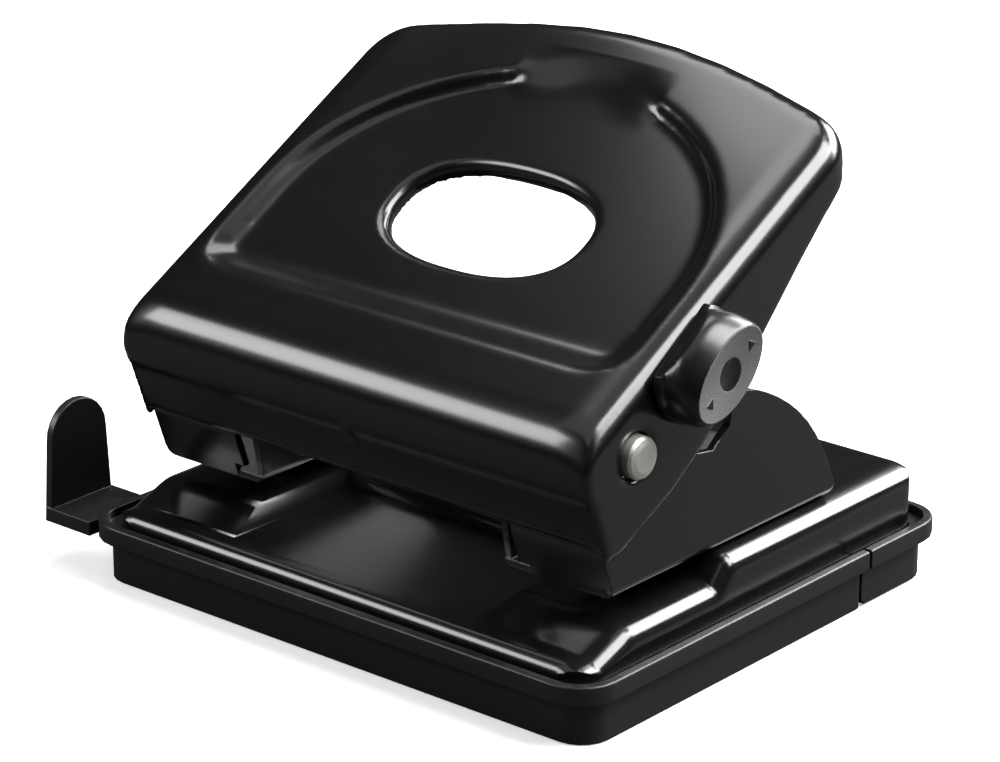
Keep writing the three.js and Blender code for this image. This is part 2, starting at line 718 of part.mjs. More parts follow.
// The ramp is wide along the front, narrower at the sides and steep at the rear.
const RAMP_FRONT = 7.5;
const RAMP_SIDE = 5;
const RAMP_REAR = 2;
const RAMP_STEPS = 6;
const dishEdge = dishOutline.map((here, k) => {
  const before = dishOutline[(k + dishOutline.length - 1) % dishOutline.length];
  const after = dishOutline[(k + 1) % dishOutline.length];
  const length = Math.hypot(after[0] - before[0], after[1] - before[1]);
  const out = [(after[1] - before[1]) / length, (before[0] - after[0]) / length];
  const width =
    out[1] < 0
      ? RAMP_SIDE + (RAMP_FRONT - RAMP_SIDE) * out[1] * out[1]
      : RAMP_SIDE + (RAMP_REAR - RAMP_SIDE) * Math.min(1, 1.4 * out[1]);
  return { here, out, width };
});
// The hollow that the dish takes out of the sheet: rings that sink in an S-shaped ramp.
function dish(lowered, spread) {
  const ringAt = (step) => {
    const t = step / RAMP_STEPS;
    const sunk = DISH_DEPTH * t * t * (3 - 2 * t);
    return dishEdge.map(({ here, out, width }) => {
      const move = spread - width * t;
      return [here[0] + out[0] * move, here[1] + out[1] * move, PANEL_RISE - lowered - sunk];
    });
  };
  const rings = [ringAt(0).map(([x, y]) => [x, y, PANEL_RISE + 6])];
  for (let step = 0; step <= RAMP_STEPS; step++) rings.push(ringAt(step));
  const count = dishEdge.length;
  const points = rings.flat();
  const faces = [];
  for (let ring = 0; ring + 1 < rings.length; ring++)
    for (let k = 0; k < count; k++) {
      const a = ring * count + k;
      const b = ring * count + ((k + 1) % count);
      faces.push([a, a + count, b], [b, a + count, b + count]);
    }
  const cap = (ring, up) =>
    THREE.ShapeUtils.triangulateShape(rings[ring].map(([x, y]) => new THREE.Vector2(x, y)), []).forEach(
      ([a, b, c]) => faces.push((up ? [a, b, c] : [a, c, b]).map((v) => v + ring * count)),
    );
  cap(0, true);
  cap(rings.length - 1, false);
  const geometry = new THREE.BufferGeometry();
  geometry.setAttribute('position', new THREE.Float32BufferAttribute(points.flat(), 3));
  geometry.setIndex(faces.flat());
  return toSolid(geometry);
}
const floorZ = PANEL_RISE - DISH_DEPTH;
const holeOutline = (grown) =>
  ellipse(0, 0, 1, 1, 56).map(([c, s]) => [
    (FINGER_HOLE_A + grown) * Math.sign(c) * Math.abs(c) ** (2 / FINGER_HOLE_SQUARENESS),
    FINGER_HOLE_Y + (FINGER_HOLE_B + grown) * Math.sign(s) * Math.abs(s) ** (2 / FINGER_HOLE_SQUARENESS),
  ]);
const collar = prism(
  'z',
  holeOutline(SHEET),
  floorZ - 3.6,
  floorZ - 0.2,
);
const fingerHole = joined([
  prism('z', holeOutline(0), -20, 30),
  prism('z', holeOutline(1.6), floorZ - 0.7, 12, 1.4),
]);

// Lower edge of the cheeks and the rear rim, drawn in (Y, Z) of the handle's frame.
const trimBelow = [
  [-30, -12.5],
  [-13.9, -12.5],
  [-11.6, -13.7],
  [-5.6, -13.9],
  [4.9, -14.2],
  [13.6, -13.3],
  [26, -10.6],
  [37.7, -7.1],
  [45.8, -4.6],
  [54, -2],
  [62.5, 0.2],
  [69.5, 2],
  [73.4, 5],
  [76, 6],
  [100, 6],
  [100, -60],
  [-30, -60],
].reverse();
const seam = 0.6;
const seamX = CHEEK_IN - seam / 2;
const handle = cut(
  cut(handleOuter, [dish(0, 0)])
    .subtract(handleInner.subtract(dish(SHEET, 1)))
    .add(collar),
  [
    fingerHole,
    prism('x', trimBelow, -70, 70),
    box(-seamX, seamX, -30, -11, -30, HEM_Z),
    ...[-1, 1].map((side) =>
      box(side * seamX - seam / 2, side * seamX + seam / 2, -30, -10, -30, 1.2)),
    rod('x', PIN_R + 0.35, -80, 80, 0, 0),
    rod('x', SHAFT_R + 0.3, 40, 80, KNOB_ALONG, KNOB_RISE, 24),
  ],
);
piece('handle_shell', raised(handle), ...LACQUER);

// Press pads: folded strips under the panel, one over each punch.
const padNormalY = Math.sin(rad(PAD_TILT));
const padNormalZ = Math.cos(rad(PAD_TILT));
const padHeight = (y) => (PAD_LIFT - padNormalY * y) / padNormalZ;
const PAD_T = 1.6;
const PAD_W = 16;
const padTop = PANEL_RISE - DISH_DEPTH - SHEET - GAP;
const padOutline = [
  [5.6, padHeight(5.6)],
  [20.6, padHeight(20.6)],
  [20.6, padTop - PAD_T],
  [27, padTop - PAD_T],
  [27, padTop],
  [19, padTop],
  [19, padHeight(19) + PAD_T],
  [7.2, padHeight(7.2) + PAD_T],
  [7.2, padTop],
  [5.6, padTop],
];
const pad = prism('x', padOutline, PUNCH_X - PAD_W / 2, PUNCH_X + PAD_W / 2);
pair('press_pad', raised(pad), ...SPRING);

// ---- lock -----------------------------------------------------------------------------------
// Hook in the plane of the bracket's outer wall, drawn in the handle's frame, knob free.
const lockFrame = (points, turn) =>
  points.map(([a, b]) => {
    const angle = rad(turn);
    return [
      KNOB_ALONG + a * Math.cos(angle) - b * Math.sin(angle),
      KNOB_RISE + a * Math.sin(angle) + b * Math.cos(angle),
    ];
  });
const toeOutline = [
  ...arc(0, 0, TOE_OUT, 270 + 10, 270 - 42, 8),
  ...arc(0, 0, TOE_IN, 270 - 42, 270 - 6, 5),
  ...arc(0, 0, HUB_R - 1, 270 - 2, 270 + 24, 3),
];
const freeTurn = KNOB_TURN - (HANDLE_TILT - PRESS);
const hook = cut(
  joined([
    rod('x', HUB_R, BRACKET_IN, BRACKET_OUT, KNOB_ALONG, KNOB_RISE),
    prism('x', lockFrame(toeOutline, freeTurn).reverse(), BRACKET_IN, BRACKET_OUT),
  ]),
  [rod('x', SHAFT_R + 0.1, 40, 80, KNOB_ALONG, KNOB_RISE, 24)],
);
piece('lock_hook', raised(hook), ...SPRING);

const knobBase = CHEEK_OUT + GAP;
const knobFace = CHEEK_OUT + KNOB_OUT;
const knobOval = (scale) => ellipse(0, 0, KNOB_LONG * scale, KNOB_SHORT * scale, 40);
const clipX = BRACKET_IN - GAP - 0.8;
const knob = cut(
  joined([
    turned(
      'x',
      [[0, knobBase], [11, knobBase], [11, knobBase + 1.6], [10, knobBase + 2.6], [0, knobBase + 2.6]],
      KNOB_ALONG,
      KNOB_RISE,
      40,
    ),
    prism('x', lockFrame(knobOval(1), KNOB_SKEW), knobBase + 1, knobFace, 0.9, 0, 3),
    rod('x', SHAFT_R, clipX - 0.8, knobBase + 1, KNOB_ALONG, KNOB_RISE, 24),
  ]),
  [
    turned(
      'x',
      [[0, knobFace - 1.2], [1.6, knobFace - 1.1], [2.7, knobFace - 0.5], [3.1, knobFace + 1], [0, knobFace + 1]],
      KNOB_ALONG,
      KNOB_RISE,
      28,
    ),
    ring('x', SHAFT_R - 0.6, SHAFT_R + 1, clipX - 0.1, clipX + 0.9, KNOB_ALONG, KNOB_RISE, 24),
  ],
);
piece('lock_knob', raised(knob), ...PLASTIC);
const knobClip = cut(ring('x', SHAFT_R - 0.4, SHAFT_R + 2, clipX, clipX + 0.8, KNOB_ALONG, KNOB_RISE), [
  box(0, 100, KNOB_ALONG, KNOB_ALONG + 9, KNOB_RISE - 2, KNOB_RISE + 2),
]);
piece('lock_clip', raised(knobClip), ...SPRING);

// ---- paper guide ------------------------------------------------------------------------------
const stopX = -TRAY_W / 2 - GUIDE_REACH;
const footX = -TRAY_W / 2 - 0.5;
const stopY0 = 2.8 - TRAY_D / 2;
const stopY1 = stopY0 + GUIDE_STOP_W;
const stopMid = (stopY0 + stopY1) / 2;
const stopTop = STRIP_BOTTOM + GUIDE_STOP_H;
const draft = 1;
const archR = GUIDE_STOP_W / 2 - draft;
const stopOutline = [
  [stopY0, STRIP_BOTTOM],
  [stopY1, STRIP_BOTTOM],
  [stopY1 - draft, stopTop - archR],
  ...arc(stopMid, stopTop - archR, archR, 0, 180, 12).slice(1, -1),
  [stopY0 + draft, stopTop - archR],
];
const guide = joined([
  prism('x', stopOutline, stopX, stopX + GUIDE_T, 0.35, 0, 2),
  box(stopX + 0.4, footX, stopY0, stopY1, STRIP_BOTTOM, STRIP_TOP + 0.4),
  box(stopX + 1, stopX + STRIP_LENGTH, STRIP_Y0, STRIP_Y1, STRIP_BOTTOM, STRIP_TOP),
]);
piece('paper_guide', guide, ...PLASTIC);

export default group;
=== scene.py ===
# %% [markdown]
# # A two-hole paper punch
# A desk punch for two holes: a pressed steel handle on two bent brackets, a
# steel table with a trough, and a plastic tray under it that catches the
# chips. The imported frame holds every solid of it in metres. This lesson gives
# those solids their finishes and their fine edges, and makes the handle, the
# knob and the springs again as fine surfaces.

# %% The frame
import json
import math
import bpy
import bmesh
from mathutils import Matrix, Vector


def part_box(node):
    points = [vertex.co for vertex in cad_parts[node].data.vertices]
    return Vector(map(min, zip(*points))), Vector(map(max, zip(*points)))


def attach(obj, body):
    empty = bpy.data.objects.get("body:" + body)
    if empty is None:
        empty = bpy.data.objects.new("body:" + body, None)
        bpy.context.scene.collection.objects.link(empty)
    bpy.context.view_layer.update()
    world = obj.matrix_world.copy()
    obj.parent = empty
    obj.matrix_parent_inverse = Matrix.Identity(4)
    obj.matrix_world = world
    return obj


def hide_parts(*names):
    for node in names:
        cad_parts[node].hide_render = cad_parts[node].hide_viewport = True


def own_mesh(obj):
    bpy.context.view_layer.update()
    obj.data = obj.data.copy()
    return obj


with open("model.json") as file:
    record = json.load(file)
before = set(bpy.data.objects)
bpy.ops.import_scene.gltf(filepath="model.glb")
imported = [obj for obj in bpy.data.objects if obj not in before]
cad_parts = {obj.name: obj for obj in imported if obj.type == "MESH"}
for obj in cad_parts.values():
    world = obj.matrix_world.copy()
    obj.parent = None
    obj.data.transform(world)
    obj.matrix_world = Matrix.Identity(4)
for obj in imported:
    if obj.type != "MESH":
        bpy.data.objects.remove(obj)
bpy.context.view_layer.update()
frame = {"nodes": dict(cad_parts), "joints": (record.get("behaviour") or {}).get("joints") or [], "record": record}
nodes = frame["nodes"]
MM = 0.001


def joint_place(name):
    """Where a hinge's axis passes, in metres."""
    return Vector(next(j["pos_m"] for j in frame["joints"] if j["name"] == name))


print("solids in the frame:", len(nodes))

# %% [markdown]
# ## Camera
# A long lens from the front right and a little above, as for a catalogue.
# The lens is long, so parallel edges stay nearly parallel.

# %% Camera
AZIMUTH = math.radians(40.13)
ELEVATION = math.radians(20.33)
ROLL = math.radians(0.166)
LENS = 141.37
SENSOR_WIDTH = 36
STANDPOINT = Vector((451.8, -540.9, 301.0)) * MM


def add_camera():
    back = Vector((math.sin(AZIMUTH) * math.cos(ELEVATION),
                   -math.cos(AZIMUTH) * math.cos(ELEVATION),
                   math.sin(ELEVATION)))
    right = Vector((math.cos(AZIMUTH), math.sin(AZIMUTH), 0))
    up = back.cross(right)
    right_rolled = right * math.cos(ROLL) + up * math.sin(ROLL)
    up_rolled = up * math.cos(ROLL) - right * math.sin(ROLL)
    bpy.ops.object.camera_add(location=STANDPOINT)
    camera = bpy.context.object
    turn = Matrix((right_rolled, up_rolled, back)).transposed()
    camera.rotation_euler = turn.to_euler()
    camera.data.lens = LENS
    camera.data.sensor_width = SENSOR_WIDTH
    camera.data.clip_start = 0.01
    bpy.context.scene.camera = camera


add_camera()
print("camera stands", round(STANDPOINT.length, 3), "m from the middle")

# %% [markdown]
# ## Studio
# A pale floor, a pale surround and a few soft boxes. Black enamel shows
# nothing but what it mirrors, so the boxes are its drawing. One overhead on
# the right edges the folds in white, one in front on the left makes the band
# on the roll, and a small one behind on the left shades the panel from black
# to grey. The floor and the surround are pale to the eye and dark to the
# enamel, as in a studio where the paper ends just outside the view.

# %% Studio
bpy.context.scene.view_settings.view_transform = "Standard"
FLOOR_SIZE = 12
FLOOR_DROP = 0.2 * MM
FLOOR_SEEN = 0.95
FLOOR_MIRRORED = 0.035
FLOOR_GLOW = 0.40
# places of the two colours and of the result among a Mix node's sockets
MIX_FIRST, MIX_SECOND, MIX_RESULT = 6, 7, 2


def grey(tone):
    return (tone, tone, tone, 1)


def add_floor():
    bpy.ops.object.select_all(action="DESELECT")
    bpy.ops.mesh.primitive_plane_add(size=FLOOR_SIZE, location=(0, 0, -FLOOR_DROP))
    floor = bpy.context.object
    floor.name = "studio_floor"
    finish = bpy.data.materials.new("studio_paper")
    finish.use_nodes = True
    tree = finish.node_tree
    shader = tree.nodes["Principled BSDF"]
    shader.inputs["Roughness"].default_value = 0.9
    seen = tree.nodes.new("ShaderNodeLightPath")
    tone = tree.nodes.new("ShaderNodeMix")
    tone.data_type = "RGBA"
    tone.inputs[MIX_FIRST].default_value = grey(FLOOR_MIRRORED)
    tone.inputs[MIX_SECOND].default_value = grey(FLOOR_SEEN)
    tree.links.new(seen.outputs["Is Camera Ray"], tone.inputs["Factor"])
    tree.links.new(tone.outputs[MIX_RESULT], shader.inputs["Base Color"])
    shader.inputs["Emission Color"].default_value = grey(1)
    glow = tree.nodes.new("ShaderNodeMath")
    glow.operation = "MULTIPLY"
    glow.inputs[1].default_value = FLOOR_GLOW
    tree.links.new(seen.outputs["Is Camera Ray"], glow.inputs[0])
    tree.links.new(glow.outputs["Value"], shader.inputs["Emission Strength"])
    floor.data.materials.append(finish)


def add_surround(seen_strength, mirrored_strength):
    world = bpy.data.worlds.new("studio_surround")
    world.use_nodes = True
    tree = world.node_tree
    shade = tree.nodes["Background"]
    shade.inputs["Color"].default_value = (1, 1, 1, 1)
    ray = tree.nodes.new("ShaderNodeLightPath")
    level = tree.nodes.new("ShaderNodeMapRange")
    level.inputs["To Min"].default_value = mirrored_strength
    level.inputs["To Max"].default_value = seen_strength
    tree.links.new(ray.outputs["Is Camera Ray"], level.inputs["Value"])
    tree.links.new(level.outputs["Result"], shade.inputs["Strength"])
    bpy.context.scene.world = world


MIDDLE = Vector((0, 0, 0.05))


def add_soft_box(name, toward, distance, width, height, watts):
    """Toward is a direction from the middle of the punch; lengths are in metres."""
    place = MIDDLE + Vector(toward).normalized() * distance
    bpy.ops.object.light_add(type="AREA", location=place)
    light = bpy.context.object
    light.name = name
    light.data.shape = "RECTANGLE"
    light.data.size = width
    light.data.size_y = height
    light.data.energy = watts
    light.rotation_euler = (MIDDLE - place).to_track_quat("-Z", "Y").to_euler()


add_floor()
add_surround(seen_strength=1.0, mirrored_strength=0.02)
add_soft_box("box_overhead", (0.62, 0.35, 0.95), 1.1, 0.62, 0.75, 24)
add_soft_box("box_rear_right", (0.22, 0.76, 0.50), 1.2, 0.95, 0.55, 30)
add_soft_box("box_front_left", (-0.60, -0.63, 0.46), 1.1, 0.50, 0.42, 6.5)
add_soft_box("box_rear_left", (-0.36, 0.36, 0.95), 0.75, 0.34, 0.30, 1.6)
add_soft_box("box_wide", (-0.10, -0.30, 1.0), 2.2, 2.2, 1.6, 8)

# %% [markdown]
# ## Shared effects
# Three node groups serve every finish. *Grain* is the fine unevenness of a
# moulded or sprayed skin. *Rubbed edge* finds where a bevelled normal parts
# from the true one, which is where hands polish. *Dust* settles on faces that
# look up.

# %% Shared effects
def new_group(name, inputs, outputs):
    group = bpy.data.node_groups.new(name, "ShaderNodeTree")
    for title, kind, value in inputs:
        socket = group.interface.new_socket(title, in_out="INPUT", socket_type=kind)
        if value is not None:
            socket.default_value = value
    for title, kind in outputs:
        group.interface.new_socket(title, in_out="OUTPUT", socket_type=kind)
    return group, group.nodes.new("NodeGroupInput"), group.nodes.new("NodeGroupOutput")


FLOAT = "NodeSocketFloat"
PATCH_SCALE = 45


def make_grain_group():
    group, given, result = new_group(
        "grain", [("Scale", FLOAT, 900.0), ("Detail", FLOAT, 3.0)],
        [("Height", FLOAT), ("Patches", FLOAT)])
    place = group.nodes.new("ShaderNodeTexCoord")
    fine = group.nodes.new("ShaderNodeTexNoise")
    broad = group.nodes.new("ShaderNodeTexNoise")
    broad.inputs["Scale"].default_value = PATCH_SCALE
    link = group.links.new
    link(place.outputs["Object"], fine.inputs["Vector"])
    link(place.outputs["Object"], broad.inputs["Vector"])
    link(given.outputs["Scale"], fine.inputs["Scale"])
    link(given.outputs["Detail"], fine.inputs["Detail"])
    link(fine.outputs["Fac"], result.inputs["Height"])
    link(broad.outputs["Fac"], result.inputs["Patches"])
    return group


EDGE_REACH = 0.4 * MM
SAME_DIRECTION, CLEAR_CORNER = 0.99, 0.75


def make_edge_group():
    group, given, result = new_group(
        "rubbed_edge", [("Amount", FLOAT, 0.5)], [("Mask", FLOAT)])
    bevel = group.nodes.new("ShaderNodeBevel")
    bevel.samples = 4
    bevel.inputs["Radius"].default_value = EDGE_REACH
    true_face = group.nodes.new("ShaderNodeNewGeometry")
    likeness = group.nodes.new("ShaderNodeVectorMath")
    likeness.operation = "DOT_PRODUCT"
    ramp = group.nodes.new("ShaderNodeMapRange")
    ramp.inputs["From Min"].default_value = SAME_DIRECTION
    ramp.inputs["From Max"].default_value = CLEAR_CORNER
    scaled = group.nodes.new("ShaderNodeMath")
    scaled.operation = "MULTIPLY"
    link = group.links.new
    link(bevel.outputs["Normal"], likeness.inputs[0])
    link(true_face.outputs["Normal"], likeness.inputs[1])
    link(likeness.outputs["Value"], ramp.inputs["Value"])
    link(ramp.outputs["Result"], scaled.inputs[0])
    link(given.outputs["Amount"], scaled.inputs[1])
    link(scaled.outputs["Value"], result.inputs["Mask"])
    return group


SPECK_SCALE = 260
SPECK_DETAIL = 6
SPECK_FROM, SPECK_TO = 0.5, 0.8


def make_dust_group():
    group, given, result = new_group(
        "dust", [("Amount", FLOAT, 0.1)], [("Mask", FLOAT)])
    face = group.nodes.new("ShaderNodeNewGeometry")
    parts = group.nodes.new("ShaderNodeSeparateXYZ")
    place = group.nodes.new("ShaderNodeTexCoord")
    specks = group.nodes.new("ShaderNodeTexNoise")
    specks.inputs["Scale"].default_value = SPECK_SCALE
    specks.inputs["Detail"].default_value = SPECK_DETAIL
    few = group.nodes.new("ShaderNodeMapRange")
    few.inputs["From Min"].default_value = SPECK_FROM
    few.inputs["From Max"].default_value = SPECK_TO
    looks_up = group.nodes.new("ShaderNodeMath")
    looks_up.operation = "MULTIPLY"
    scaled = group.nodes.new("ShaderNodeMath")
    scaled.operation = "MULTIPLY"
    scaled.use_clamp = True
    link = group.links.new
    link(face.outputs["Normal"], parts.inputs["Vector"])
    link(place.outputs["Object"], specks.inputs["Vector"])
    link(specks.outputs["Fac"], few.inputs["Value"])
    link(parts.outputs["Z"], looks_up.inputs[0])
    link(few.outputs["Result"], looks_up.inputs[1])
    link(looks_up.outputs["Value"], scaled.inputs[0])
    link(given.outputs["Amount"], scaled.inputs[1])
    link(scaled.outputs["Value"], result.inputs["Mask"])
    return group


GRAIN, EDGE, DUST = make_grain_group(), make_edge_group(), make_dust_group()
print("shared effects:", GRAIN.name, EDGE.name, DUST.name)

# %% [markdown]
# ## Finishes
# Every finish has a body colour that lightens on rubbed edges and under
# dust, a roughness that wanders a little, and a bump from the grain. Coat
# and metal are plain numbers on the shader. A Bevel node rounds the shading
# of sharp corners, so a bare CAD solid still catches a line of light.

# %% Finishes
COAT_ROUGHNESS = 0.12
PATCH_DARK, PATCH_LIGHT = 0.85, 1.15
DUST_TONE = (0.45, 0.44, 0.42)
BUMP_STRENGTH = 0.4
LEAST_ROUGHNESS = 0.02


def make_finish(name, colour, edge_colour, roughness, metallic=0.0, coat=0.0,
                spread=0.05, grain_scale=900.0, grain_depth=0.004,
                wear=0.3, dust=0.05, edge_radius=0.3):
    finish = bpy.data.materials.new(name)
    finish.use_nodes = True
    tree = finish.node_tree
    shader = tree.nodes["Principled BSDF"]
    shader.inputs["Metallic"].default_value = metallic
    shader.inputs["Coat Weight"].default_value = coat
    shader.inputs["Coat Roughness"].default_value = COAT_ROUGHNESS

    def placed(group):
        node = tree.nodes.new("ShaderNodeGroup")
        node.node_tree = group
        return node

    grain, edge, specks = placed(GRAIN), placed(EDGE), placed(DUST)
    grain.inputs["Scale"].default_value = grain_scale
    edge.inputs["Amount"].default_value = wear
    specks.inputs["Amount"].default_value = dust
    link = tree.links.new

    def mixed(mask, first, second):
        mix = tree.nodes.new("ShaderNodeMix")
        mix.data_type = "RGBA"
        link(mask, mix.inputs["Factor"])
        for place, value in ((MIX_FIRST, first), (MIX_SECOND, second)):
            socket = mix.inputs[place]
            if isinstance(value, tuple):
                socket.default_value = (*value, 1)
            else:
                link(value, socket)
        return mix.outputs[MIX_RESULT]

    patchy = mixed(grain.outputs["Patches"], tuple(c * PATCH_DARK for c in colour),
                   tuple(min(1, c * PATCH_LIGHT) for c in colour))
    rubbed = mixed(edge.outputs["Mask"], patchy, edge_colour)
    link(mixed(specks.outputs["Mask"], rubbed, DUST_TONE),
         shader.inputs["Base Color"])
    rough = tree.nodes.new("ShaderNodeMapRange")
    rough.inputs["To Min"].default_value = max(LEAST_ROUGHNESS, roughness - spread)
    rough.inputs["To Max"].default_value = roughness + spread
    link(grain.outputs["Patches"], rough.inputs["Value"])
    link(rough.outputs["Result"], shader.inputs["Roughness"])
    soft_edge = tree.nodes.new("ShaderNodeBevel")
    soft_edge.samples = 6
    soft_edge.inputs["Radius"].default_value = edge_radius * MM
    bump = tree.nodes.new("ShaderNodeBump")
    bump.inputs["Strength"].default_value = BUMP_STRENGTH
    bump.inputs["Distance"].default_value = grain_depth * MM
    link(grain.outputs["Height"], bump.inputs["Height"])
    link(soft_edge.outputs["Normal"], bump.inputs["Normal"])
    link(bump.outputs["Normal"], shader.inputs["Normal"])
    return finish


# colours are linear; grain depth and edge radius are in millimetres
LACQUER = make_finish("gloss_enamel", (0.0035, 0.0035, 0.004), (0.008, 0.008, 0.008),
                      0.235, coat=0.30, spread=0.012, grain_scale=260,
                      grain_depth=0.0012, wear=0.2, dust=0.006, edge_radius=0.5)
TRAY_PLASTIC = make_finish("moulded_tray_plastic", (0.010, 0.010, 0.011),
                           (0.06, 0.06, 0.06), 0.36, spread=0.05, grain_scale=2600,
                           grain_depth=0.03, wear=0.35, dust=0.05, edge_radius=0.4)
# The knob's face is the same black plastic as its side. Its grain is real, but its grey body colour is painted
# sheen: it stands in for the light that the grained face scatters.
KNOB_FACE_PAINTED_SHEEN = make_finish("grained_knob_face_painted_sheen", (0.105, 0.105, 0.105),
                           (0.3, 0.3, 0.3), 0.5, spread=0.06, grain_scale=3200,
                           grain_depth=0.30, wear=0.35, dust=0.02, edge_radius=0.3)
KNOB_SIDE = make_finish("smooth_knob_side", (0.004, 0.004, 0.004), (0.04, 0.04, 0.04),
                        0.30, coat=0.1, spread=0.03, grain_scale=1200, grain_depth=0.008,
                        wear=0.3, dust=0.02, edge_radius=0.3)
NICKEL = make_finish("satin_nickel", (0.80, 0.79, 0.75), (0.9, 0.89, 0.86), 0.5,
                     metallic=1.0, spread=0.05, grain_scale=1500,
                     grain_depth=0.004, wear=0.4, dust=0.02)
PLAIN_STEEL = make_finish("spring_steel", (0.42, 0.42, 0.42), (0.75, 0.75, 0.75), 0.34,
                          metallic=1.0, spread=0.08, grain_scale=1800,
                          grain_depth=0.01, wear=0.5, dust=0.03)
FINISHES = {"black_lacquer": LACQUER, "tray_plastic": TRAY_PLASTIC,
            "knob_plastic": KNOB_FACE_PAINTED_SHEEN, "nickel_steel": NICKEL,
            "plain_steel": PLAIN_STEEL}
print("finishes:", sorted(FINISHES))

# %% [markdown]
# ## Which solid has which finish
# Every solid comes in carrying the name of its material slot.

# %% Slots
slot_of = {name: solid.material_slots[0].material.name for name, solid in nodes.items()}
print("slots in use:", sorted(set(slot_of.values())))

# %% [markdown]
# ## Enamelled and moulded skins
# A pressed sheet and a moulding have no sharp corner anywhere. The frame's
# solids are exact but faceted, so each large one is copied, its loose
# triangles are merged and its flat faces are cleaned. The mouldings' corners
# get a small true bevel; the brackets, cut from sheet, keep theirs. Normals
# are weighted by face, so that flats stay flat.

# %% Skins
MERGE_WITHIN = 0.002 * MM
FLAT_WITHIN = math.radians(0.4)


def only(piece):
    bpy.ops.object.select_all(action="DESELECT")
    piece.select_set(True)
    bpy.context.view_layer.objects.active = piece


def skin_from(node, name, body, bevel_mm, smooth=32, shape=None, weigh=True,
              flats_joined=True):
    """Copies a node's solid, shapes it, and puts it in the node's place.

    smooth is the largest angle, in degrees, that is shaded as one surface.
    """
    piece = bpy.data.objects.new(name, nodes[node].data.copy())
    bpy.context.scene.collection.objects.link(piece)
    only(piece)
    bpy.ops.object.mode_set(mode="EDIT")
    bpy.ops.mesh.select_all(action="SELECT")
    bpy.ops.mesh.remove_doubles(threshold=MERGE_WITHIN)
    if flats_joined:
        bpy.ops.mesh.dissolve_limited(angle_limit=FLAT_WITHIN)
    bpy.ops.object.mode_set(mode="OBJECT")
    if shape:
        shape(piece)
    if bevel_mm:
        bevel = piece.modifiers.new("edge", "BEVEL")
        bevel.width = bevel_mm * MM
        bevel.segments = 2
        bevel.limit_method = "ANGLE"
        bevel.angle_limit = math.radians(smooth)
        bevel.use_clamp_overlap = True
        bpy.ops.object.modifier_apply(modifier=bevel.name)
    bpy.ops.object.shade_smooth_by_angle(angle=math.radians(smooth))
    if weigh:
        weighted = piece.modifiers.new("weighted", "WEIGHTED_NORMAL")
        weighted.keep_sharp = True
        bpy.ops.object.modifier_apply(modifier=weighted.name)
    piece.data.materials.clear()
    piece.data.materials.append(FINISHES[slot_of[node]])
    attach(piece, body)
    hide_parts(node)
    print(name, "faces:", len(piece.data.polygons))
    return piece


BODIES = frame["record"]["behaviour"]["bodies"]
body_of = {node: body for body, group in BODIES.items() for node in group}
SKINS = {"chip_tray": 0.25, "tray_flap": 0.25,
         "bracket_right": 0, "bracket_left": 0, "paper_guide": 0.2}
for node, bevel_mm in SKINS.items():
    skin_from(node, node + "_skin", body_of[node], bevel_mm)

# %% [markdown]
# ## The table plate's soft shoulders
# The die that pressed this plate let its top fall away over the last few
# millimetres before each side, which is why the side shows a broad band of
# light and not a thin line. A proportional move could do it by hand. Here
# planes cut the top from front to back near both sides, and the new points
# are lowered more and more towards the edge, so the fall is exact.

# %% Table plate
PLATE_LOW, PLATE_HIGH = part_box("base_plate")
SHOULDER = 6.0 * MM
SHOULDER_FALL = 1.9 * MM
SHOULDER_CUTS = 7
WALL_BLEND = 4.0 * MM


def cut_across(piece, planes):
    only(piece)
    bpy.ops.object.mode_set(mode="EDIT")
    for place, facing in planes:
        bpy.ops.mesh.select_all(action="SELECT")
        bpy.ops.mesh.bisect(plane_co=place, plane_no=facing)
    bpy.ops.object.mode_set(mode="OBJECT")


def soften_plate(piece):
    inner = PLATE_HIGH.x - SHOULDER
    offsets = [inner + SHOULDER * k / SHOULDER_CUTS for k in range(SHOULDER_CUTS)]
    cut_across(piece, [(Vector((side * x, 0, 0)), Vector((1, 0, 0)))
                       for side in (1, -1) for x in offsets])
    for vertex in piece.data.vertices:
        past = max(0, abs(vertex.co.x) - inner) / SHOULDER
        high = min(1, max(0, (vertex.co.z - PLATE_LOW.z) / WALL_BLEND))
        vertex.co.z -= SHOULDER_FALL * past * past * high
    piece.data.update()


skin_from("base_plate", "base_plate_skin", "base", 0, shape=soften_plate)
print("plate half width:", round(PLATE_HIGH.x / MM, 1), "mm")

# %% [markdown]
# ## The handle's own frame
# The handle is drawn from its pivot: across the punch, along the panel, and
# out from it. It rests tilted, so each place on it is measured in that frame
# before anything is decided about it.

# %% Handle frame
TILT = math.radians(28.5)
PIVOT = joint_place("handle_press")
ALONG = Vector((0, math.cos(TILT), math.sin(TILT)))
OUTWARD = Vector((0, -math.sin(TILT), math.cos(TILT)))


def local(point):
    """Place in the handle's own frame: across, along the panel, and out from the pivot."""
    return point.x, (point - PIVOT).dot(ALONG), (point - PIVOT).dot(OUTWARD)


print("handle pivot:", [round(c / MM, 2) for c in PIVOT], "mm")

# %% [markdown]
# ## Crown and falling folds
# The real panel isn't flat: towards its rear edge it swells by a millimetre
# and a half, highest in the middle, and it falls away a little before each
# side fold. A lattice could bend it. Two short formulas do it here, because
# each has one number to turn for how much.

# %% Crown and folds
CROWN = 1.6 * MM
CROWN_STARTS = 30 * MM
CROWN_ENDS = 87 * MM
CROWN_HALF_WIDTH = 48 * MM
FOLD_STARTS = 48 * MM
FOLD_WIDTH = 9.2 * MM
FOLD_FALL = 1.3 * MM
FOLD_RISE = 5 * MM


def crown_at(point):
    x, along, _ = local(point)
    share = min(1, max(0, (along - CROWN_STARTS) / (CROWN_ENDS - CROWN_STARTS)))
    if abs(x) > CROWN_HALF_WIDTH:
        return 0
    across = math.cos(math.pi * x / (2 * CROWN_HALF_WIDTH)) ** 2
    return CROWN * share * share * (3 - 2 * share) * across


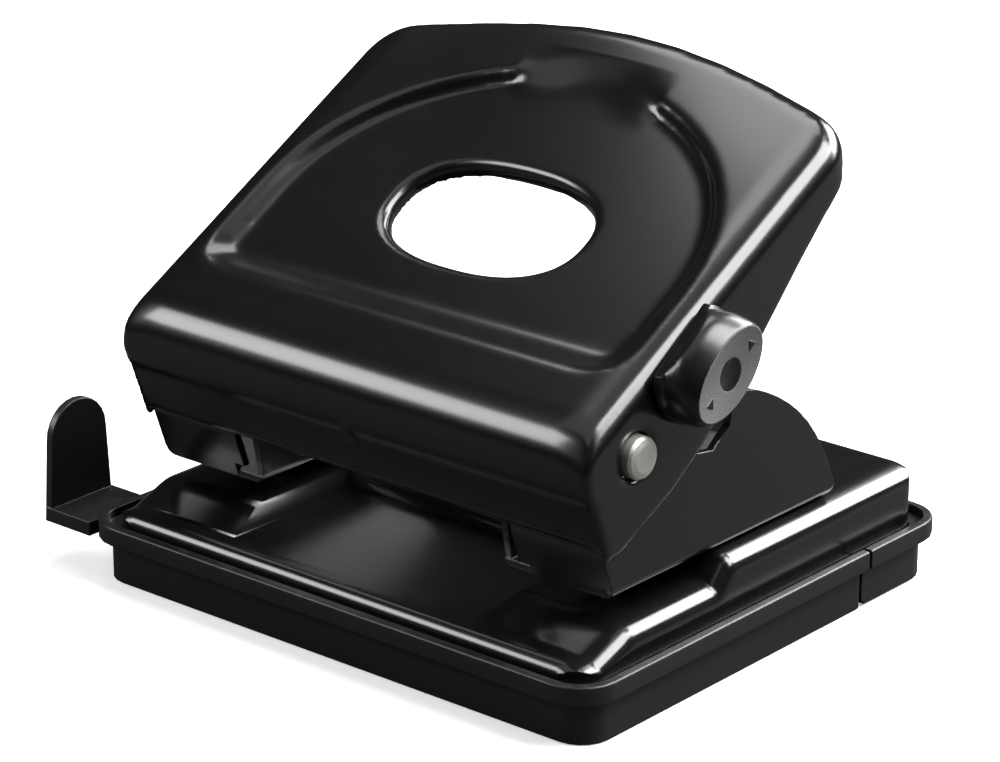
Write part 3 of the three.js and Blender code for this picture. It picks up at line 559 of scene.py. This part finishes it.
def fall_at(point):
    x, _, rise = local(point)
    past = max(0, abs(x) - FOLD_STARTS) / FOLD_WIDTH
    high = min(1, max(0, (rise - FOLD_RISE) / FOLD_RISE))
    return FOLD_FALL * past * past * high


print("crown:", CROWN / MM, "mm, fall at the folds:", FOLD_FALL / MM, "mm")

# %% [markdown]
# ## The finger hole's lip
# The sheet rolls over into the hole, goes straight down as a short collar and
# ends in a blunt foot. It is the one place on the panel where a finger feels
# the steel, and where light draws a fine line. Bevelling the edge of the hole
# would leave the collar faceted, so the lip's section is drawn once, and each
# point near the hole is moved onto it.

# %% Finger hole
HOLE_ALONG = 35.8 * MM
HOLE_HALF_LENGTH = 22.3 * MM
HOLE_HALF_WIDTH = 12.8 * MM
HOLE_SQUARENESS = 2.4
PANEL_RISE = 11.8 * MM
DISH_DEPTH = 2.5 * MM
PANEL_FLOOR = PANEL_RISE - DISH_DEPTH
COLLAR_FOOT = PANEL_FLOOR - 3.6 * MM
SHEET_THICK = 1.2 * MM
GROWN_LEAST, GROWN_MOST = -8 * MM, 12 * MM
HALVINGS = 18


def grown_at(x, along):
    """How far outside the finger hole's outline a place lies (negative inside the hole)."""
    low, high = GROWN_LEAST, GROWN_MOST
    for _ in range(HALVINGS):
        middle = (low + high) / 2
        reach = (abs(x / (HOLE_HALF_LENGTH + middle)) ** HOLE_SQUARENESS
                 + abs((along - HOLE_ALONG) / (HOLE_HALF_WIDTH + middle)) ** HOLE_SQUARENESS)
        low, high = (middle, high) if reach > 1 else (low, middle)
    return (low + high) / 2


print("finger hole:", 2 * HOLE_HALF_LENGTH / MM, "x", 2 * HOLE_HALF_WIDTH / MM, "mm")

# %% Lip section
LIP_ROLL = 2.0 * MM
LIP_SECTION_END = 6 * MM
FOOT_ROUND = 0.2 * MM
ROLL_STEP = 10


def lip_profile():
    """Section of the lip: top skin, roll, inner wall, foot, outer wall, inner roll, back."""
    centre = PANEL_FLOOR - LIP_ROLL

    def roll(radius):
        angles = [math.radians(a) for a in range(0, 91, ROLL_STEP)]
        return [(LIP_ROLL - radius * math.sin(a), centre + radius * math.cos(a)) for a in angles]

    top = [(LIP_SECTION_END, PANEL_FLOOR)] + roll(LIP_ROLL) + [(0, COLLAR_FOOT + FOOT_ROUND)]
    foot = [(FOOT_ROUND, COLLAR_FOOT), (SHEET_THICK - FOOT_ROUND, COLLAR_FOOT)]
    back = [(SHEET_THICK, COLLAR_FOOT + FOOT_ROUND)] + roll(LIP_ROLL - SHEET_THICK)[::-1]
    return top + foot + back + [(LIP_SECTION_END, PANEL_FLOOR - SHEET_THICK)]


LIP_PROFILE = lip_profile()


def nearest_on_profile(grown, rise):
    best, found = None, (grown, rise)
    for (g1, r1), (g2, r2) in zip(LIP_PROFILE, LIP_PROFILE[1:]):
        run, climb = g2 - g1, r2 - r1
        share = ((grown - g1) * run + (rise - r1) * climb) / (run * run + climb * climb)
        share = min(1, max(0, share))
        near = (g1 + run * share, r1 + climb * share)
        miss = math.hypot(near[0] - grown, near[1] - rise)
        if best is None or miss < best:
            best, found = miss, near
    return found


print("points in the lip's section:", len(LIP_PROFILE))

# %% True lip
LIP_REACH = 4.0 * MM
LIP_FADE = 2.0 * MM
LIP_INSIDE = -2 * MM
BELOW_FOOT = 1 * MM
NEAR_ACROSS, NEAR_ALONG = 30 * MM, 20 * MM


def true_lip(piece):
    """Draw every point near the hole onto the lip's exact section."""
    moved = 0
    for vertex in piece.data.vertices:
        x, along, rise = local(vertex.co)
        if (rise < COLLAR_FOOT - BELOW_FOOT or abs(x) > NEAR_ACROSS
                or abs(along - HOLE_ALONG) > NEAR_ALONG):
            continue
        grown = grown_at(x, along)
        if grown > LIP_REACH or grown < LIP_INSIDE:
            continue
        new_grown, new_rise = nearest_on_profile(grown, rise)
        pull = min(1, max(0, (LIP_REACH - grown) / LIP_FADE))
        new_grown = grown + (new_grown - grown) * pull
        new_rise = rise + (new_rise - rise) * pull
        new_x = x * (HOLE_HALF_LENGTH + new_grown) / (HOLE_HALF_LENGTH + grown)
        new_along = HOLE_ALONG + ((along - HOLE_ALONG) * (HOLE_HALF_WIDTH + new_grown)
                                  / (HOLE_HALF_WIDTH + grown))
        vertex.co = PIVOT + Vector((new_x, 0, 0)) + ALONG * new_along + OUTWARD * new_rise
        moved += 1
    print("points on the finger hole's lip:", moved)


# %% [markdown]
# ## How hard the dish is pressed
# The dish's side arcs are crisp, its front step is soft, and its tab at the
# rear nearly melts into the panel. A few rounds of smoothing on all of it,
# more on the step and many on the tab, give those three hardnesses, as a
# press does with a worn punch.

# %% Dish
PANEL_HALF_WIDTH = 50 * MM
PANEL_FRONT, PANEL_REAR = 8 * MM, 77 * MM
STEP_REAR = 20 * MM
TAB_HALF_WIDTH = 17 * MM
TAB_FRONT, TAB_REAR = 58 * MM, 78 * MM
ABOVE_CHEEKS = 6 * MM


def on_panel(point):
    x, along, rise = local(point)
    return (abs(x) < PANEL_HALF_WIDTH and PANEL_FRONT < along < PANEL_REAR
            and rise > ABOVE_CHEEKS)


def in_tab(point):
    x, along, rise = local(point)
    return abs(x) < TAB_HALF_WIDTH and TAB_FRONT < along < TAB_REAR and rise > ABOVE_CHEEKS


def in_front_step(point):
    return on_panel(point) and local(point)[1] < STEP_REAR


SOFTENINGS = ((in_tab, 150), (in_front_step, 16), (on_panel, 3))
print("smoothing rounds:", [(chosen.__name__, rounds) for chosen, rounds in SOFTENINGS])

# %% [markdown]
# ## The mark on the front skirt
# A small rib is pressed out in the middle of the skirt. It is a few cells
# wide, so a bump that falls off to both sides and to both ends is enough.

# %% Skirt mark
MARK_HALF_WIDTH = 1.3 * MM
MARK_LOW, MARK_HIGH = 41.3 * MM, 45.6 * MM
MARK_DEPTH = 0.7 * MM
SKIRT_BACK = -46.5 * MM


def mark_at(point):
    """How far the rib in the middle of the front skirt stands out here."""
    if point.y > SKIRT_BACK or not MARK_LOW < point.z < MARK_HIGH:
        return 0
    beside = max(0, 1 - abs(point.x) / MARK_HALF_WIDTH)
    share = (point.z - MARK_LOW) / (MARK_HIGH - MARK_LOW)
    return MARK_DEPTH * beside * math.sin(math.pi * share)


print("skirt mark:", round((MARK_HIGH - MARK_LOW) / MM, 1), "mm tall")

# %% [markdown]
# ## The handle
# One sheet of steel makes the whole handle. Its solid has large flat faces
# with no points to move, so a voxel remesh first covers it in even cells, and
# a few rounds of smoothing round its facets off. Subdividing the solid was
# the other way, but its long thin triangles shade badly. Then the dish is
# softened, the lip is drawn true, and the crown, the folds and the mark are
# moved in.

# %% Handle
SHEET_CELL = 0.66 * MM
RELAX_ROUNDS = 5
RELAX = 0.5


def select_where(piece, chosen):
    """Selects the points that are chosen, and stays in edit mode."""
    bpy.ops.mesh.select_all(action="DESELECT")
    bpy.ops.object.mode_set(mode="OBJECT")
    for vertex in piece.data.vertices:
        vertex.select = chosen(vertex.co)
    bpy.ops.object.mode_set(mode="EDIT")
    bpy.ops.mesh.select_mode(type="VERT")


def press_handle(piece):
    remesh = piece.modifiers.new("even_cells", "REMESH")
    remesh.mode = "VOXEL"
    remesh.voxel_size = SHEET_CELL
    remesh.use_smooth_shade = True
    bpy.ops.object.modifier_apply(modifier=remesh.name)
    bpy.ops.object.mode_set(mode="EDIT")
    bpy.ops.mesh.select_all(action="SELECT")
    bpy.ops.mesh.vertices_smooth(factor=RELAX, repeat=RELAX_ROUNDS)
    for chosen, rounds in SOFTENINGS:
        select_where(piece, chosen)
        bpy.ops.mesh.vertices_smooth(factor=RELAX, repeat=rounds)
    bpy.ops.object.mode_set(mode="OBJECT")
    true_lip(piece)
    for vertex in piece.data.vertices:
        vertex.co += OUTWARD * (crown_at(vertex.co) - fall_at(vertex.co))
        vertex.co.y -= mark_at(vertex.co)
    piece.data.update()


handle = skin_from("handle_shell", "handle_shell_skin", "handle", 0, shape=press_handle,
                   smooth=60, weigh=False, flats_joined=False)
print("handle top:", round(max(v.co.z for v in handle.data.vertices) / MM, 2), "mm")

# %% [markdown]
# ## The lock knob
# A thumb grips its oval face and turns it on a round base with one flat,
# which leaves room for the handle's fold. Extruding and resizing a cylinder's
# end would do for a plain knob. This one changes from round to oval while it
# bulges, so its sections are written down, and a skin is laid from ring to
# ring: it starts as a circle, and each ring is a new section. The last rings
# sink into the face and make the dimple.

# %% Knob sections
KNOB_PLACE = joint_place("knob_turn")
KNOB_AXIS = Vector((0, KNOB_PLACE.y, KNOB_PLACE.z))
KNOB_LEAN = math.radians(35.4)
KNOB_SIDES = 64
LONG = Vector((0, math.cos(KNOB_LEAN), math.sin(KNOB_LEAN)))
SHORT = Vector((0, -math.sin(KNOB_LEAN), math.cos(KNOB_LEAN)))
FACE_STARTS = 66.3 * MM
# distance out along X, half length, half width, room up to the fold, in millimetres
KNOB_SECTIONS = [(57.55, 10.7, 10.7, 6.6), (57.9, 11.0, 11.0, 6.9), (59.2, 11.0, 11.0, 7.0),
                 (59.5, 10.9, 10.8, 7.1), (59.7, 10.85, 9.9, 7.2), (60.4, 10.95, 9.5, 7.8),
                 (61.3, 11.05, 9.3, 8.5), (62.3, 11.1, 9.1, 9.0), (63.2, 11.1, 8.75, 9.0),
                 (64.0, 11.05, 8.25, 9.0), (64.8, 10.95, 7.65, 9.0), (65.5, 10.8, 7.1, 9.0),
                 (66.1, 10.6, 6.65, 9.0), (66.4, 10.35, 6.35, 9.0), (66.47, 10.1, 6.15, 9.0),
                 (66.38, 9.9, 5.95, 9.0), (66.38, 3.5, 3.3, 9.0), (66.28, 3.1, 2.95, 9.0),
                 (65.95, 2.4, 2.3, 9.0), (65.75, 1.5, 1.45, 9.0), (65.7, 0.6, 0.6, 9.0)]
print("knob sections:", len(KNOB_SECTIONS))


# %% Knob body
def add_knob():
    bpy.ops.object.select_all(action="DESELECT")
    first_long = KNOB_SECTIONS[0][1]
    bpy.ops.mesh.primitive_circle_add(vertices=KNOB_SIDES, radius=first_long * MM,
                                      fill_type="NGON", location=(0, 0, 0))
    knob = bpy.context.object
    knob.name = "lock_knob_skin"
    shape = bmesh.new()
    shape.from_mesh(knob.data)
    ring = sorted(shape.verts, key=lambda v: math.atan2(v.co.y, v.co.x))
    angles = [math.atan2(v.co.y, v.co.x) for v in ring]

    def place(verts, section):
        out, long, short, room = section
        for vert, angle in zip(verts, angles):
            vert.co = (KNOB_AXIS + Vector((out * MM, 0, 0))
                       + LONG * math.cos(angle) * long * MM
                       + SHORT * min(math.sin(angle) * short, room) * MM)

    place(ring, KNOB_SECTIONS[0])
    for section in KNOB_SECTIONS[1:]:
        following = [shape.verts.new() for _ in ring]
        place(following, section)
        for k in range(KNOB_SIDES):
            after = (k + 1) % KNOB_SIDES
            shape.faces.new((ring[k], ring[after], following[after], following[k]))
        ring = following
    shape.faces.new(ring)
    bmesh.ops.recalc_face_normals(shape, faces=shape.faces)
    shape.to_mesh(knob.data)
    shape.free()
    # Faces past FACE_STARTS take the face finish, whose grey is painted sheen; the rest keeps the black of the
    # side.
    knob.data.materials.append(KNOB_SIDE)
    knob.data.materials.append(KNOB_FACE_PAINTED_SHEEN)
    for face in knob.data.polygons:
        if face.center.x > FACE_STARTS:
            face.material_index = 1
    return knob


# %% Knob shaft
SHAFT_RADIUS = 3.0 * MM
SHAFT_LENGTH = 6.2 * MM
SHAFT_MIDDLE = 54.6 * MM
SHAFT_SIDES = 32
SHAFT_RIM = 0.3 * MM


def add_knob_shaft():
    bpy.ops.object.select_all(action="DESELECT")
    bpy.ops.mesh.primitive_cylinder_add(
        vertices=SHAFT_SIDES, radius=SHAFT_RADIUS, depth=SHAFT_LENGTH,
        rotation=(0, math.pi / 2, 0), location=KNOB_AXIS + Vector((SHAFT_MIDDLE, 0, 0)))
    shaft = bpy.context.object
    bpy.ops.object.transform_apply(location=True, rotation=True, scale=True)
    rim = shaft.modifiers.new("rim", "BEVEL")
    rim.width = SHAFT_RIM
    rim.segments = 2
    rim.limit_method = "ANGLE"
    bpy.ops.object.modifier_apply(modifier=rim.name)
    shaft.data.materials.append(KNOB_SIDE)
    return shaft


# %% Turn marks
MARK_OUT = 66.42 * MM
MARK_FROM_AXIS = 7.0 * MM
MARK_RADIUS = 1.2 * MM
MARK_HEIGHT = 0.24 * MM
MARK_CHAMFER = 0.08 * MM


def add_turn_marks():
    """Two plain triangles on the face, one at each end of the oval."""
    marks = []
    for side in (1, -1):
        bpy.ops.object.select_all(action="DESELECT")
        spot = KNOB_AXIS + Vector((MARK_OUT, 0, 0)) + LONG * side * MARK_FROM_AXIS
        bpy.ops.mesh.primitive_cylinder_add(vertices=3, radius=MARK_RADIUS,
                                            depth=MARK_HEIGHT, location=spot)
        mark = bpy.context.object
        mark.rotation_euler = (Matrix.Rotation(KNOB_LEAN + side * math.pi / 2, 3, "X")
                               @ Matrix.Rotation(math.pi / 2, 3, "Y")).to_euler()
        bpy.ops.object.transform_apply(location=True, rotation=True, scale=True)
        chamfer = mark.modifiers.new("chamfer", "BEVEL")
        chamfer.width = MARK_CHAMFER
        bpy.ops.object.modifier_apply(modifier=chamfer.name)
        mark.data.materials.append(KNOB_SIDE)
        marks.append(mark)
    return marks


# %% Knob
KNOB_SMOOTH = math.radians(40)
knob = add_knob()
knob_parts = [knob, add_knob_shaft(), *add_turn_marks()]
bpy.ops.object.select_all(action="DESELECT")
for part in knob_parts:
    part.select_set(True)
bpy.context.view_layer.objects.active = knob
bpy.ops.object.join()
bpy.ops.object.transform_apply(location=True, rotation=True, scale=True)
bpy.ops.object.shade_smooth_by_angle(angle=KNOB_SMOOTH)
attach(knob, "lock")
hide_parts("lock_knob")
print("knob faces:", len(knob.data.polygons))
REPLACED = set(SKINS) | {"base_plate", "handle_shell", "lock_knob"}

# %% [markdown]
# ## Return springs
# Each punch is pushed back up by an open coil of steel wire. A small circle
# of wire is swept round and up by a Screw modifier, once, and copied for the
# other punch. A curve with a bevel would do as well, but the modifier keeps
# the number of turns as one value.

# %% Springs
SPRING_LOW, SPRING_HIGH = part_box("return_spring_right")
PUNCH_X = (SPRING_LOW.x + SPRING_HIGH.x) / 2
PUNCH_Y = (SPRING_LOW.y + SPRING_HIGH.y) / 2
WIRE = 0.42 * MM
COIL = 4.4 * MM
COIL_TURNS = 7
WIRE_SIDES = 10
STEPS_A_TURN = 28
COIL_SMOOTH = math.radians(60)
SEAT = SPRING_LOW.z
COIL_RISE = SPRING_HIGH.z - SEAT - 2 * WIRE


def add_spring():
    bpy.ops.object.select_all(action="DESELECT")
    bpy.ops.mesh.primitive_circle_add(vertices=WIRE_SIDES, radius=WIRE, fill_type="NGON",
                                      location=(COIL, 0, 0), rotation=(math.pi / 2, 0, 0))
    coil = bpy.context.object
    bpy.ops.object.transform_apply(location=True, rotation=True, scale=True)
    bpy.ops.object.mode_set(mode="EDIT")
    bpy.ops.mesh.select_all(action="SELECT")
    bpy.ops.mesh.delete(type="ONLY_FACE")
    bpy.ops.object.mode_set(mode="OBJECT")
    screw = coil.modifiers.new("wound", "SCREW")
    screw.angle = 2 * math.pi * COIL_TURNS
    screw.screw_offset = COIL_RISE
    screw.steps = STEPS_A_TURN * COIL_TURNS
    screw.render_steps = screw.steps
    bpy.ops.object.modifier_apply(modifier=screw.name)
    bpy.ops.object.mode_set(mode="EDIT")
    bpy.ops.mesh.select_all(action="DESELECT")
    bpy.ops.mesh.select_mode(type="EDGE")
    bpy.ops.mesh.select_non_manifold()
    bpy.ops.mesh.edge_face_add()
    bpy.ops.mesh.select_all(action="SELECT")
    bpy.ops.mesh.normals_make_consistent(inside=False)
    bpy.ops.mesh.select_mode(type="VERT")
    bpy.ops.object.mode_set(mode="OBJECT")
    bpy.ops.object.shade_smooth_by_angle(angle=COIL_SMOOTH)
    return coil


def seat_spring(coil, side, name):
    coil.name = name + "_coil"
    coil.data.transform(Matrix.Translation((side * PUNCH_X, PUNCH_Y, SEAT + WIRE)))
    coil.data.materials.append(PLAIN_STEEL)
    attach(coil, "base")
    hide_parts(name)
    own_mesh(coil)


right_coil = add_spring()
left_coil = bpy.data.objects.new("left", right_coil.data.copy())
bpy.context.scene.collection.objects.link(left_coil)
seat_spring(right_coil, 1, "return_spring_right")
seat_spring(left_coil, -1, "return_spring_left")
REPLACED |= {"return_spring_right", "return_spring_left"}
print("coils:", COIL_TURNS, "turns,", round((SPRING_HIGH.z - SEAT) / MM, 1), "mm high")

# %% [markdown]
# ## Small fittings
# Pins, rivets, punches and clips keep the frame's shapes and take their
# finish from the slot that the record gives them.

# %% Fittings
for node, thing in nodes.items():
    if node not in REPLACED:
        for place in range(len(thing.material_slots)):
            thing.material_slots[place].material = FINISHES[slot_of[node]]
        if not thing.material_slots:
            thing.data.materials.append(FINISHES[slot_of[node]])
print("fittings:", len(nodes) - len(REPLACED))
